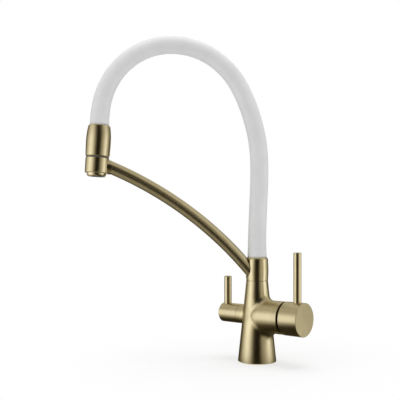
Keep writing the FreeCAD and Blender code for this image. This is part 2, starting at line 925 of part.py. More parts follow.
def arm_tip_line():
    spoke = boss_plane_point() - arm_centre()
    return Vec(spoke.z, 0, -spoke.x).normalize()


def bent_bar(d, start_angle, turn):
    """Round bar along the arm's bend. Angles are from the root's spoke, toward the tip."""
    disc = Part.Face(Part.Wire(Part.makeCircle(d / 2, arm_root(), arm_root_line())))
    disc.rotate(arm_centre(), Vec(0, 1, 0), start_angle)
    return disc.revolve(arm_centre(), Vec(0, 1, 0), turn)


def arm_turn():
    a = arm_root() - arm_centre()
    b = boss_plane_point() - arm_centre()
    return degrees(a.getAngle(b))


def holder_arm():
    """Bent tube, mitred to the recess floor at the root and to the boss at the tip."""
    turn = arm_turn() + 2 * spare_turn
    bar = bent_bar(arm_d, -spare_turn, turn)
    bar = bar.cut(bent_bar(arm_d - 2 * arm_wall, -spare_turn, turn))
    reach = 2 * arm_d
    floor = arm_root_s + fit
    bar = bar.cut(box(floor - reach, floor, -reach, reach, 0, dock_top_z + reach))
    return to_spout(bar.cut(boss_half_space(0)))


def boss_half_space(back):
    """Everything on the ring's side of the boss face, less a set-back toward the body."""
    reach = 3 * arm_d
    block = box(0, 2 * reach, -reach, reach, -reach, reach)
    block.rotate(Vec(0, 0, 0), Vec(0, 1, 0), -head_tilt)
    block.translate(boss_plane_point() + boss_direction() * back)
    return block


def arm_anchor():
    """Plug in the arm's root with a pin that is brazed through the collar's wall."""
    plug_d = arm_d - 2 * arm_wall - 2 * fit
    turn = degrees(anchor_len / arm_bend_r)
    plug = bent_bar(plug_d, -spare_turn, turn + spare_turn)
    reach = 2 * arm_d
    floor = arm_root_s + fit
    plug = plug.cut(box(floor - reach, floor, -reach, reach, 0, dock_top_z))
    return to_spout(plug.fuse(anchor_pin_bar(anchor_pin_d, 0.0)))


def anchor_pin_bar(d, spare):
    z = collar_z + arm_root_z
    inner = post_top_d / 2 + 3 * fit - spare
    return between(d, Vec(inner, 0, z), Vec(arm_root_s + fit + anchor_pin_in - spare, 0, z))


# ---- dock ring and spray head ---------------------------------------------------------------


def dock_ring():
    """Ring at the arm's end, with the boss and the plug that goes into the arm."""
    r = dock_d / 2
    edge = dock_edge
    band = turned([
        (0, -dock_h),
        (r - edge, -dock_h),
        (r, -dock_h + edge),
        (r, -edge),
        (r - edge, 0),
        (0, 0),
    ])
    boss = between(boss_d, Vec(0, 0, -boss_drop), Vec(-r - boss_out, 0, -boss_drop))
    band = to_head(band.fuse(boss))
    plug_d = arm_d - 2 * arm_wall - 2 * fit
    turn = arm_turn()
    length = degrees(anchor_len / arm_bend_r)
    plug = bent_bar(plug_d, turn - length, length + spare_turn)
    plug = to_spout(plug.cut(boss_half_space(-boss_out)))
    bore = to_head(rod(dock_bore_d, -dock_h - 1, 1))
    return band.fuse(plug).cut(bore)


def dock_liner():
    """Thin plastic sleeve in the ring, in which the head stands."""
    outer = dock_bore_d - 2 * fit
    return to_head(tube(outer, outer - 2 * liner_t, -dock_h, 0))


def seat_washer():
    """Grey washer under the head that rests on the ring."""
    return to_head(tube(seat_washer_d, stem_d + 2 * fit, 0, seat_washer_t))


def ferrule_side(h):
    """Radius of the barrel at a height over its foot: two arcs upright at the belly."""
    belly = ferrule_belly_d / 2
    if h < ferrule_belly_h:
        sag = belly - ferrule_foot_d / 2
        span = ferrule_belly_h
    else:
        sag = belly - ferrule_top_d / 2
        span = ferrule_h - ferrule_belly_h
    arc = (span ** 2 + sag ** 2) / (2 * sag)
    return belly - arc + sqrt(arc ** 2 - (h - ferrule_belly_h) ** 2)


def head_ferrule():
    """Barrel-shaped sleeve over the hose end."""
    z0 = ferrule_z
    edge = ferrule_edge
    low_mid = ferrule_belly_h / 2
    top = ferrule_h - edge
    high_mid = (ferrule_belly_h + top) / 2
    neck = post_top_d / 2 + fit
    cavity = ferrule_cavity_d / 2
    crown = z0 + ferrule_h - ferrule_crown_t
    shell = turned([
        (cavity, z0),
        (ferrule_side(edge) - edge, z0),
        (ferrule_side(edge), z0 + edge),
        (ferrule_belly_d / 2, z0 + ferrule_belly_h, ferrule_side(low_mid), z0 + low_mid),
        (ferrule_side(top), z0 + top, ferrule_side(high_mid), z0 + high_mid),
        (ferrule_top_d / 2 - edge, z0 + ferrule_h),
        (neck, z0 + ferrule_h),
        (neck, crown),
        (cavity, crown),
    ])
    return to_head(shell)


def head_manifold():
    """Carries both tubes into the head: barbs above, the filtered water pipe below."""
    crown = ferrule_z + ferrule_h - ferrule_crown_t
    top = head_top + post_into_hose
    low = ferrule_z + nozzle_thread_len + gasket_t
    body = rod(ferrule_cavity_d - 2 * fit, low, crown).fuse(rod(post_top_d, crown, top))
    outlet_foot = nozzle_foot_z() + aerator_rim_t
    outlet_d = centre_outlet_d - 2 * fit
    pipe = rod(outlet_d, outlet_foot, low)
    body = body.fuse(pipe)
    for y, bore in ((mixed_tube_y, mixed_tube_bore_d), (filtered_tube_y, filtered_tube_bore_d)):
        barb = bore - 2 * fit
        body = body.fuse(rod(barb, top, top + barb_len, 0, y))
    mixed_d = mixed_tube_bore_d - 2 * fit - 2 * barb_wall
    filtered_d = filtered_tube_bore_d - 2 * fit - 2 * barb_wall
    turn_z = low + manifold_turn
    body = body.cut(rod(mixed_d, low, top + barb_len, 0, mixed_tube_y))
    body = body.cut(rod(filtered_d, turn_z, top + barb_len, 0, filtered_tube_y))
    body = body.cut(between(filtered_d, Vec(0, filtered_tube_y, turn_z), Vec(0, 0, turn_z)))
    return to_head(body.cut(rod(filtered_d, outlet_foot, turn_z)))


def nozzle_foot_z():
    return -dock_h - nozzle_out


def nozzle_body():
    """Tubular nozzle that screws into the ferrule and shows under the ring."""
    foot = nozzle_foot_z()
    r = stem_d / 2
    lip = nozzle_lip_d / 2
    thread_r = ferrule_cavity_d / 2 - fit
    top = ferrule_z + nozzle_thread_len
    bore = nozzle_bore_d / 2
    rim = aerator_rim_d / 2 + fit
    seat = foot + aerator_rim_t
    shell = turned([
        (rim, foot),
        (lip, foot),
        bowed((lip, foot), (r, -dock_h - nozzle_side_gap), nozzle_swell),
        (r, ferrule_z),
        (thread_r, ferrule_z),
        (thread_r, top),
        (bore, top),
        (bore, seat),
        (rim, seat),
    ])
    return to_head(shell)


def aerator_rim():
    """Grey ring that holds the aerator in the nozzle's mouth."""
    foot = nozzle_foot_z()
    return to_head(tube(aerator_rim_d, nozzle_bore_d - 2 * aerator_rim_lip, foot, foot + aerator_rim_t))


def aerator_insert():
    """Plastic strainer: two rings of holes and a sleeve round the filtered water pipe."""
    z0 = nozzle_foot_z() + aerator_rim_t
    z1 = z0 + aerator_h
    insert = rod(nozzle_bore_d - 2 * fit, z0, z1)
    insert = insert.cut(rod(centre_outlet_d, z0, z1))
    outer, inner = nozzle_bore_d - 2 * aerator_wall, centre_outlet_d + 2 * aerator_wall
    insert = insert.cut(tube(outer, inner, z0 + aerator_plate_t, z1))
    holes = []
    for pitch_d, count in (
        (aerator_inner_pitch_d, aerator_inner_holes),
        (aerator_outer_pitch_d, aerator_outer_holes),
    ):
        for k in range(count):
            turn = 2 * pi * k / count
            place = (pitch_d / 2 * cos(turn), pitch_d / 2 * sin(turn))
            holes.append(rod(aerator_hole_d, z0, z0 + aerator_plate_t, place[0], place[1]))
    return to_head(insert.cut(holes))


def nozzle_gasket():
    """Rubber ring between the nozzle's thread and the manifold."""
    z = ferrule_z + nozzle_thread_len
    return to_head(tube(ferrule_cavity_d - 4 * fit, nozzle_bore_d, z, z + gasket_t))


# ---- spout hose -----------------------------------------------------------------------------


def head_point(z):
    """Point on the head's axis in the spout's plane, z along that axis from the dock's top."""
    return Vec(dock_reach, 0, dock_top_z) + dock_axis * z


def biarc(a, ta, b, tb):
    """Two arcs that leave a along ta and reach b along tb, tangent where they meet."""
    chord = b - a
    both = ta + tb
    bend = 2 * (1 - ta.dot(tb))
    lean = chord.dot(both)
    if bend < 1e-9:
        reach = chord.Length ** 2 / (2 * lean)
    else:
        reach = (sqrt(lean ** 2 + bend * chord.Length ** 2) - lean) / bend
    joint = (a + ta * reach + b - tb * reach) * 0.5
    return [arc_from(a, ta, joint), arc_from(b, tb * -1, joint, back=True)]


def arc_from(a, tangent, b, back=False):
    """Arc that leaves a along a tangent and ends at b. Reversed where it is drawn backward."""
    chord = b - a
    square = chord - tangent * chord.dot(tangent)
    radius = chord.Length ** 2 / (2 * square.Length)
    centre = a + square.normalize() * radius
    mid_line = (a + b) * 0.5 - centre
    mid = centre + mid_line.normalize() * radius
    points = (b, mid, a) if back else (a, mid, b)
    return Part.Arc(*points).toShape()


def hose_route(z_foot, head_z, y=0.0):
    """Line of the spout from the collar to the head, between straight ends."""
    up = Vec(0, 0, 1)
    foot = Vec(0, 0, z_foot)
    bend = Vec(0, 0, collar_top_z + hose_straight)
    lean = Vec(-hose_lean, 0, hose_lean_z)
    apex = Vec(hose_apex_s, 0, hose_apex_z)
    end = head_point(head_z)
    drop = head_point(head_top + hose_straight)
    edges = [Part.LineSegment(foot, bend).toShape()]
    edges += biarc(bend, up, lean, up)
    edges += biarc(lean, up, apex, Vec(1, 0, 0))
    edges += biarc(apex, Vec(1, 0, 0), drop, dock_axis * -1)
    edges.append(Part.LineSegment(drop, end).toShape())
    route = Part.Wire(edges)
    route.translate(Vec(0, y, 0))
    return route


def along(route, d):
    """Round bar along a route that starts straight up."""
    foot = route.Edges[0].Vertexes[0].Point
    circle = Part.Wire(Part.makeCircle(d / 2, foot, Vec(0, 0, 1)))
    return route.makePipeShell([circle], True, False)


def hose_sleeve():
    """Silicone sleeve of the spout, swelling where it stands on the collar and the head."""
    route = hose_route(collar_top_z, head_top)
    sleeve = along(route, hose_d)
    foot = turned(swelling(collar_top_z, hose_flare_d))
    head = turned(swelling(0, hose_head_d))
    head.rotate(Vec(0, 0, 0), Vec(0, 1, 0), -head_tilt)
    head.translate(head_point(head_top))
    bore = along(route, hose_bore_d)
    return to_spout(sleeve.fuse([foot, head]).cut(bore))


def swelling(z, d):
    """Profile of a hose end that swells from the hose's width to d in a soft curve."""
    r, out, inner = hose_d / 2, d / 2, hose_bore_d / 2 + 1
    mid = ((r + out) / 2, z + hose_straight / 2)
    end = (r, z + hose_straight)
    return [
        (inner, z),
        (out, z),
        bowed((out, z), mid, hose_end_bow),
        bowed(mid, end, -hose_end_bow),
        (inner, end[1]),
    ]


def spout_tube(d, bore, y):
    """Water tube inside the sleeve, from the post's barb to the head's barb."""
    route = hose_route(collar_top_z + post_into_hose, head_top + post_into_hose, y)
    return to_spout(along(route, d).cut(along(route, bore)))


def mixed_water_tube():
    return spout_tube(mixed_tube_d, mixed_tube_bore_d, mixed_tube_y)


def filtered_water_tube():
    return spout_tube(filtered_tube_d, filtered_tube_bore_d, filtered_tube_y)


# ---- all pieces -----------------------------------------------------------------------------

pieces = [
    body_casting,
    inlet_block,
    base_gasket,
    glide_ring,
    lock_screw,
    cartridge_base,
    cartridge_seals,
    cartridge_body,
    fixed_disc,
    moving_disc,
    disc_driver,
    cartridge_carrier,
    stem_pin,
    mixer_stem,
    cartridge_nut,
    cover_dome,
    mixer_cap,
    mixer_lever,
    mixer_grub_screw,
    filter_headwork,
    filter_fixed_disc,
    filter_moving_disc,
    filter_spindle,
    filter_o_ring,
    filter_cap,
    filter_lever,
    filter_grub_screw,
    swivel_post,
    swivel_rings,
    swivel_collar,
    holder_arm,
    arm_anchor,
    dock_ring,
    dock_liner,
    seat_washer,
    head_ferrule,
    head_manifold,
    nozzle_body,
    aerator_rim,
    aerator_insert,
    nozzle_gasket,
    hose_sleeve,
    mixed_water_tube,
    filtered_water_tube,
]

os.makedirs("parts", exist_ok=True)
for piece in pieces:
    solid = piece()
    solid.exportStep(f"parts/{piece.__name__}.step")
    print(f"{piece.__name__:22} {len(solid.Solids)} solid, {solid.Volume:10.1f} mm3, valid {solid.isValid()}")
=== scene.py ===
import math
import bmesh
import bpy
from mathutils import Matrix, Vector


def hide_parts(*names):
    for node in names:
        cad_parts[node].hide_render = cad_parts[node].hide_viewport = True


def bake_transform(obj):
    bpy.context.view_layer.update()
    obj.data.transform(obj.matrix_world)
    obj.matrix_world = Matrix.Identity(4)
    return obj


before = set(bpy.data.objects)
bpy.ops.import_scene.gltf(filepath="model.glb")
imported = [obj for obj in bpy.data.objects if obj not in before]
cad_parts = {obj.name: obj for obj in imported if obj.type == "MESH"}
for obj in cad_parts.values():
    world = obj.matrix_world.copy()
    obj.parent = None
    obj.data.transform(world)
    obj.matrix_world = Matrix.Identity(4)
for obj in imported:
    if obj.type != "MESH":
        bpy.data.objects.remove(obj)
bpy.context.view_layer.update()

# ---- camera ----------------------------------------------------------------------------------
# The photograph looks level at the lower part of the tap from 0.85 m. The picture's frame is
# raised a little, so that the uprights stay parallel and the whole arch of the hose fits in.

looking = Vector((-0.6581, 0.7530, 0.0))
camera_data = bpy.data.cameras.new("camera")
camera_data.sensor_width = 36.0
camera_data.lens = 58.5
camera_data.shift_y = 0.07
camera = bpy.data.objects.new("camera", camera_data)
camera.location = (0.5036, -0.6898, 0.1741)
camera.rotation_euler = looking.to_track_quat("-Z", "Y").to_euler()
bpy.context.scene.collection.objects.link(camera)
bpy.context.scene.camera = camera

# ---- floor, studio wall and lamps ------------------------------------------------------------
# A pale floor, white beyond the tap's own shadow. Round it stands a drum of cards, which only
# polished metal sees: pale at both sides, dark behind the camera and at the far corners. Three
# soft lamps light the tap.


def show(name, mesh):
    """Put a mesh or curve in the scene as an object at the origin."""
    made = bpy.data.objects.new(name, mesh)
    bpy.context.scene.collection.objects.link(made)
    return made


def from_bmesh(name, bm):
    """Turn a bmesh into an object."""
    mesh = bpy.data.meshes.new(name)
    bm.to_mesh(mesh)
    bm.free()
    return show(name, mesh)


def new_material(name):
    """An empty node material with its output node."""
    material = bpy.data.materials.new(name)
    material.use_nodes = True
    tree = material.node_tree
    tree.nodes.clear()
    return material, tree, tree.nodes.new("ShaderNodeOutputMaterial")


def node(tree, kind, sockets=(), **settings):
    """Add a node, set its properties, then set or link its inputs."""
    made = tree.nodes.new(kind)
    for key, value in settings.items():
        setattr(made, key, value)
    for key, value in dict(sockets).items():
        if isinstance(value, bpy.types.NodeSocket):
            tree.links.new(value, made.inputs[key])
        else:
            made.inputs[key].default_value = value
    return made


def maths(tree, operation, a, b=0.0, c=0.0):
    """Value of a Math node."""
    return node(tree, "ShaderNodeMath", {0: a, 1: b, 2: c}, operation=operation).outputs[0]


def seen_rays(tree):
    """1 for what the camera sees, also in metal or through glass."""
    path = node(tree, "ShaderNodeLightPath")
    seen = maths(tree, "MAXIMUM", path.outputs["Is Camera Ray"], path.outputs["Is Glossy Ray"])
    return maths(tree, "MAXIMUM", seen, path.outputs["Is Transmission Ray"])


floor_bm = bmesh.new()
bmesh.ops.create_circle(floor_bm, cap_ends=True, segments=96, radius=4.0)
floor = from_bmesh("floor", floor_bm)
floor_paint, tree, out = new_material("pale_floor")
place = node(tree, "ShaderNodeTexCoord").outputs["Object"]
away = node(tree, "ShaderNodeVectorMath", {0: place}, operation="LENGTH").outputs["Value"]
far = node(tree, "ShaderNodeMapRange",
           {"Value": away, "From Min": 0.03, "From Max": 0.3, "To Min": 0.65},
           interpolation_type="SMOOTHSTEP").outputs["Result"]
paint = node(tree, "ShaderNodeBsdfDiffuse", {"Color": (0.88, 0.88, 0.88, 1.0)})
white = node(tree, "ShaderNodeEmission", {"Color": (1.0, 1.0, 1.0, 1.0), "Strength": 1.0})
share = maths(tree, "MULTIPLY", far, seen_rays(tree))
both = node(tree, "ShaderNodeMixShader", {0: share, 1: paint.outputs[0], 2: white.outputs[0]})
tree.links.new(both.outputs[0], out.inputs["Surface"])
floor.data.materials.append(floor_paint)

cards_r = 0.9
cards_h = 1.3
wall_bm = bmesh.new()
bmesh.ops.create_cone(wall_bm, cap_ends=True, segments=96, radius1=cards_r, radius2=cards_r,
                      depth=cards_h)
bmesh.ops.translate(wall_bm, verts=wall_bm.verts, vec=(0.0, 0.0, cards_h / 2 + 0.001))
wall = from_bmesh("studio_wall", wall_bm)
wall.visible_camera = False
wall.visible_diffuse = False
wall.visible_shadow = False
wall_paint, tree, out = new_material("studio_cards")
place = node(tree, "ShaderNodeTexCoord").outputs["Object"]
to_camera = math.atan2(-looking.y, -looking.x)
turned_place = node(tree, "ShaderNodeVectorRotate", {"Vector": place, "Angle": -to_camera},
                    rotation_type="Z_AXIS").outputs[0]
split = node(tree, "ShaderNodeSeparateXYZ", {0: turned_place})
height = split.outputs["Z"]
angle = maths(tree, "ARCTAN2", split.outputs["Y"], split.outputs["X"])
# once round the drum from 0 to 1, with the camera at 0.5
turn = maths(tree, "MULTIPLY_ADD", angle, 0.5 / math.pi, 0.5)


def levels(tree, at, low, high, stops):
    """Grey level between stops, each a place from low to high and a brightness."""
    made = node(tree, "ShaderNodeValToRGB", {0: at})
    made.color_ramp.interpolation = "EASE"
    ramp = made.color_ramp.elements
    for step, (stop, level) in enumerate(stops):
        stop = (stop - low) / (high - low)
        element = ramp[step] if step < 2 else ramp.new(stop)
        element.position = stop
        element.color = (level, level, level, 1.0)
    return made.outputs["Color"]


def smooth(tree, value, low, high, at_low=0.0, at_high=1.0):
    """Soft step from one value to another."""
    return node(tree, "ShaderNodeMapRange", {
        "Value": value, "From Min": low, "From Max": high, "To Min": at_low, "To Max": at_high,
    }, interpolation_type="SMOOTHSTEP").outputs[0]


# the cards lean to the right at the height of the spray head's reflections
leaning = maths(tree, "MULTIPLY", smooth(tree, height, 0.25, 0.42, 0.0, 0.03),
                smooth(tree, height, 0.45, 0.7, 1.0, 0.0))
# brightness over 1.3, by degrees to the left (-) and right (+) of the camera, seen from the tap
around = levels(tree, maths(tree, "SUBTRACT", turn, leaning), -180, 180, [
    (-180, 0.6), (-168, 0.5), (-154, 0.04), (-140, 0.04), (-128, 0.14), (-108, 0.48),
    (-92, 0.85), (-74, 1.15), (-60, 0.95), (-44, 0.46), (-34, 0.18), (-26, 0.03), (-18, 0.0),
    (7, 0.0), (13, 0.06), (19, 0.18),
    (24, 0.26), (33, 0.36), (46, 0.5), (60, 0.8), (76, 1.15), (86, 0.92), (98, 0.46), (110, 0.42),
    (128, 0.15), (140, 0.04), (154, 0.04), (168, 0.5), (180, 0.6),
])
# less of it with height above the floor, and a pale upper part all round but behind the camera
upward = levels(tree, maths(tree, "DIVIDE", height, cards_h), 0.0, cards_h, [
    (0.0, 1.0), (0.26, 1.0), (0.42, 0.9), (0.62, 0.6), (0.95, 0.45), (cards_h, 0.4),
])
from_front = maths(tree, "ABSOLUTE", maths(tree, "SUBTRACT", turn, 0.49))
beside = smooth(tree, from_front, 0.06, 0.15)
high = smooth(tree, height, 0.35, 0.9, 0.0, 0.5)
side = maths(tree, "MAXIMUM", maths(tree, "MULTIPLY", around, upward),
             maths(tree, "MULTIPLY", high, beside))
# painted reflection of the cards in a glossy table at a low angle, painted shade near the tap
level_place = node(tree, "ShaderNodeCombineXYZ",
                   {"X": split.outputs["X"], "Y": split.outputs["Y"]}).outputs[0]
out_from = node(tree, "ShaderNodeVectorMath", {0: level_place},
                operation="LENGTH").outputs["Value"]
painted_tap_shade = levels(tree, maths(tree, "DIVIDE", out_from, cards_r), 0.0, cards_r, [
    (0.0, 0.02), (0.02, 0.05), (0.045, 0.14), (0.09, 0.4), (0.14, 0.6), (0.25, 0.95),
    (0.42, 1.0), (cards_r, 1.0),
])
low_angle = node(tree, "ShaderNodeLayerWeight", {"Blend": 0.5}).outputs["Facing"]
painted_table_reflection = smooth(tree, low_angle, 0.2, 0.55, 0.22, 1.0)
table = maths(tree, "MULTIPLY", maths(tree, "MULTIPLY", around, painted_tap_shade), painted_table_reflection)
table = maths(tree, "MAXIMUM", table, 0.02)
# which part of the drum this is: its side, the table or the ceiling
overhead = maths(tree, "GREATER_THAN", height, cards_h / 2)
on_end = maths(tree, "LESS_THAN", out_from, cards_r - 0.002)
end = node(tree, "ShaderNodeMix", {"Factor": overhead, 2: table, 3: 0.4}).outputs[0]
cards = node(tree, "ShaderNodeMix", {"Factor": on_end, 2: side, 3: end}).outputs[0]
# the dimmer the light, the warmer
tinted = node(tree, "ShaderNodeCombineColor", {
    "Red": cards, "Green": maths(tree, "POWER", cards, 1.06),
    "Blue": maths(tree, "POWER", cards, 1.22),
})
glow = node(tree, "ShaderNodeEmission", {"Color": tinted.outputs[0], "Strength": 1.3})
tree.links.new(glow.outputs[0], out.inputs["Surface"])
wall.data.materials.append(wall_paint)
wall_paint.cycles.emission_sampling = "NONE"

world = bpy.data.worlds.new("studio")
bpy.context.scene.world = world
world.use_nodes = True
tree = world.node_tree
tree.nodes.clear()
seen = seen_rays(tree)
level = node(tree, "ShaderNodeMapRange", {"Value": seen, "To Min": 0.5, "To Max": 1.0})
sky = node(tree, "ShaderNodeBackground", {"Color": (1.0, 1.0, 1.0, 1.0),
                                          "Strength": level.outputs[0]})
node(tree, "ShaderNodeOutputWorld", {"Surface": sky.outputs[0]})


def lamp(name, turned, distance, bottom, width, height, glow):
    """A soft upright lamp that faces the tap's axis, so many degrees round from the camera."""
    data = bpy.data.lights.new(name, "AREA")
    data.shape = "RECTANGLE"
    data.size = width
    data.size_y = height
    data.energy = glow * math.pi * width * height
    made = bpy.data.objects.new(name, data)
    heading = to_camera + math.radians(turned)
    made.location = (distance * math.cos(heading), distance * math.sin(heading),
                     bottom + height / 2)
    facing = Vector((-math.cos(heading), -math.sin(heading), 0.0))
    made.rotation_euler = facing.to_track_quat("-Z", "Y").to_euler()
    made.visible_glossy = False
    made.visible_camera = False
    bpy.context.scene.collection.objects.link(made)
    return made


lamp("left_box", -60.0, distance=1.45, bottom=0.1, width=0.85, height=1.5, glow=1.5)
lamp("right_box", 76.0, distance=1.45, bottom=0.1, width=0.95, height=1.5, glow=1.4)
over = lamp("over_tap", 0.0, distance=0.0, bottom=1.2, width=1.2, height=1.2, glow=3.6)
# this one shines straight down
over.rotation_euler = (0.0, 0.0, 0.0)

bpy.context.scene.view_settings.view_transform = "Standard"

# ---- body casting ----------------------------------------------------------------------------
# One brass casting: the cone is turned and brushed round its own axis, and both branches round
# theirs. An antique gold finish covers it, a little uneven, with the brush lines in it.


def group(name, inputs, outputs):
    """An empty shader node group with named sockets."""
    made = bpy.data.node_groups.new(name, "ShaderNodeTree")
    for label, kind in inputs:
        made.interface.new_socket(label, in_out="INPUT", socket_type=kind)
    for label, kind in outputs:
        made.interface.new_socket(label, in_out="OUTPUT", socket_type=kind)
    return made, node(made, "NodeGroupInput"), node(made, "NodeGroupOutput")


brush_lines = 2600.0
brush_depth = 0.0000015
satin = 0.288
# the lines that brushing leaves on a turned piece: rings on its side and on its end, Z its axis
brushing, source, result = group(
    "turned_brushing",
    [("Place", "NodeSocketVector")],
    [("Lines", "NodeSocketFloat"), ("Clouds", "NodeSocketFloat")],
)
split = node(brushing, "ShaderNodeSeparateXYZ", {0: source.outputs["Place"]})
flat = node(brushing, "ShaderNodeCombineXYZ", {"X": split.outputs["X"], "Y": split.outputs["Y"]})
reach = node(brushing, "ShaderNodeVectorMath", {0: flat.outputs[0]}, operation="LENGTH")
rings = maths(brushing, "MULTIPLY_ADD", reach.outputs["Value"], 0.73, split.outputs["Z"])
streak = node(brushing, "ShaderNodeCombineXYZ", {
    "X": maths(brushing, "MULTIPLY", split.outputs["X"], 0.06),
    "Y": maths(brushing, "MULTIPLY", split.outputs["Y"], 0.06),
    "Z": rings,
})
lines = node(brushing, "ShaderNodeTexNoise", {
    "Vector": streak.outputs[0], "Scale": brush_lines, "Detail": 1.0, "Roughness": 0.65,
})
clouds = node(brushing, "ShaderNodeTexNoise", {
    "Vector": source.outputs["Place"], "Scale": 70.0, "Detail": 2.0, "Roughness": 0.5,
})
brushing.links.new(lines.outputs[0], result.inputs["Lines"])
brushing.links.new(clouds.outputs[0], result.inputs["Clouds"])


def turned_coordinates(tree, centre, axis):
    """Object coordinates moved and turned so that Z is a piece's own axis."""
    place = node(tree, "ShaderNodeTexCoord").outputs["Object"]
    return node(tree, "ShaderNodeMapping", {
        "Vector": place, "Location": centre,
        "Rotation": Vector(axis).to_track_quat("Z", "Y").to_euler(),
    }, vector_type="TEXTURE").outputs[0]


def colour_between(tree, factor, a, b):
    """Colour between a and b."""
    made = node(tree, "ShaderNodeMix", {"Factor": factor}, data_type="RGBA")
    for socket, value in ((made.inputs[6], a), (made.inputs[7], b)):
        if isinstance(value, bpy.types.NodeSocket):
            tree.links.new(value, socket)
        else:
            socket.default_value = (*value, 1.0)
    return made.outputs[2]


def metal(tree, out, lines, clouds, along_lines, dark, light, rough):
    """Brushed metal between two colours. It blurs what it mirrors across its brush lines."""
    tone = maths(tree, "MULTIPLY_ADD", lines, 0.2, maths(tree, "MULTIPLY", clouds, 0.8))
    tone = node(tree, "ShaderNodeMapRange", {"Value": tone, "From Min": 0.32, "From Max": 0.68})
    dull = maths(tree, "MULTIPLY_ADD", maths(tree, "SUBTRACT", lines, 0.5), 0.05, rough)
    bump = node(tree, "ShaderNodeBump", {"Height": lines, "Distance": brush_depth,
                                         "Strength": 0.25})
    surface = node(tree, "ShaderNodeBsdfPrincipled", {
        "Base Color": colour_between(tree, tone.outputs[0], dark, light), "Metallic": 1.0,
        "Roughness": dull, "Normal": bump.outputs[0], "Anisotropic": 0.65,
        "Anisotropic Rotation": 0.25, "Tangent": along_lines,
    })
    tree.links.new(surface.outputs[0], out.inputs["Surface"])


antique_dark = (0.66, 0.575, 0.36)
antique_light = (0.72, 0.635, 0.405)


def dress(names, material):
    """Give CAD nodes a material in place of their plain one."""
    for name in names:
        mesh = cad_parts[name].data
        if not mesh.materials:
            mesh.materials.append(material)
        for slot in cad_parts[name].material_slots:
            slot.material = material


def brushed_on(tree, centre, axis):
    """Brushing round one axis."""
    place = turned_coordinates(tree, centre, axis)
    return node(tree, "ShaderNodeGroup", {"Place": place}, node_tree=brushing)


def round_axis(tree, centre, axis):
    """Direction of the brush lines round one axis, as the shader wants it."""
    place = node(tree, "ShaderNodeTexCoord").outputs["Object"]
    from_axis = node(tree, "ShaderNodeVectorMath", {0: place, 1: centre}, operation="SUBTRACT")
    along = node(tree, "ShaderNodeVectorMath", {0: axis, 1: from_axis.outputs[0]},
                 operation="CROSS_PRODUCT")
    return node(tree, "ShaderNodeVectorTransform", {0: along.outputs[0]}, vector_type="VECTOR",
                convert_from="OBJECT", convert_to="WORLD").outputs[0]


upright = (0.0, 0.0, 1.0)
foot = (0.0, 0.0, 0.0)
branch_axis = (1.0, 0.0, 0.0)
branch_centre = (0.0, 0.0, 0.06)
branch_satin = 0.34
casting_metal, tree, out = new_material("casting_brushed_brass")
round_cone = brushed_on(tree, foot, upright)
round_branch = brushed_on(tree, branch_centre, branch_axis)
place = node(tree, "ShaderNodeTexCoord").outputs["Object"]
split = node(tree, "ShaderNodeSeparateXYZ", {0: place})
level_place = node(tree, "ShaderNodeCombineXYZ",
                   {"X": split.outputs["X"], "Y": split.outputs["Y"]}).outputs[0]
reach = node(tree, "ShaderNodeVectorMath", {0: level_place}, operation="LENGTH").outputs["Value"]
# a branch is what stands proud of the cone's side, which leans in by 0.1026 m a metre
cone_side = maths(tree, "MULTIPLY_ADD", split.outputs["Z"], -0.1026, 0.025)
on_branch = smooth(tree, maths(tree, "SUBTRACT", reach, cone_side), 0.001, 0.006)


def between(tree, factor, a, b):
    """Number between a and b."""
    return node(tree, "ShaderNodeMix", {"Factor": factor, 2: a, 3: b}).outputs[0]


def way_between(tree, factor, a, b):
    """Direction between a and b."""
    return node(tree, "ShaderNodeMix", {"Factor": factor, 4: a, 5: b},
                data_type="VECTOR").outputs[1]


metal(tree, out,
      between(tree, on_branch, round_cone.outputs["Lines"], round_branch.outputs["Lines"]),
      round_cone.outputs["Clouds"],
      way_between(tree, on_branch, round_axis(tree, foot, upright),
                  round_axis(tree, branch_centre, branch_axis)),
      antique_dark, antique_light, between(tree, on_branch, satin, branch_satin))
dress(["body_casting"], casting_metal)


def brushed_metal(name, centre, axis, dark=antique_dark, light=antique_light, rough=satin):
    """Metal of a turned piece, brushed round its axis."""
    made, tree, out = new_material(name)
    brushed = brushed_on(tree, centre, axis)
    metal(tree, out, brushed.outputs["Lines"], brushed.outputs["Clouds"],
          round_axis(tree, centre, axis), dark, light, rough)
    return made


# ---- mixer handle and filtered water handle --------------------------------------------------
# Two brass caps turned on the branches' axis, each with a slim turned lever let into it. The
# mixer's cap stands off the body, and its dome shows in the gap, painted near-black as shade.

cap_metal, tree, out = new_material("cap_brushed_brass")
round_cap = brushed_on(tree, branch_centre, branch_axis)


def vectors(tree, operation, a, b=(0.0, 0.0, 0.0), output=0):
    """Result of a Vector Math node."""
    return node(tree, "ShaderNodeVectorMath", {0: a, 1: b}, operation=operation).outputs[output]


# the side is brushed round the axis, the flat face straight across
on_cap = node(tree, "ShaderNodeTexCoord")
face_on = vectors(tree, "DOT_PRODUCT", on_cap.outputs["Normal"], branch_axis, output="Value")
on_face = smooth(tree, maths(tree, "ABSOLUTE", face_on), 0.7, 0.9)
drawn_across = node(tree, "ShaderNodeMapping", {
    "Vector": on_cap.outputs["Object"], "Scale": (1.0, 0.06, 1.0),
})
face_lines = node(tree, "ShaderNodeTexNoise", {
    "Vector": drawn_across.outputs[0], "Scale": brush_lines, "Detail": 1.0, "Roughness": 0.65,
})
straight_across = node(tree, "ShaderNodeVectorTransform", {0: (0.0, 1.0, 0.0)},
                       vector_type="VECTOR", convert_from="OBJECT", convert_to="WORLD")
# painted shade: the flat face takes a darker copy of the brass colour than the side
shaded_face_dark = (0.57, 0.50, 0.30)
shaded_face_light = (0.62, 0.55, 0.34)
metal(tree, out,
      between(tree, on_face, round_cap.outputs["Lines"], face_lines.outputs[0]),
      round_cap.outputs["Clouds"],
      way_between(tree, on_face, round_axis(tree, branch_centre, branch_axis),
                  straight_across.outputs[0]),
      colour_between(tree, on_face, antique_dark, shaded_face_dark),
      colour_between(tree, on_face, antique_light, shaded_face_light), rough=0.35)
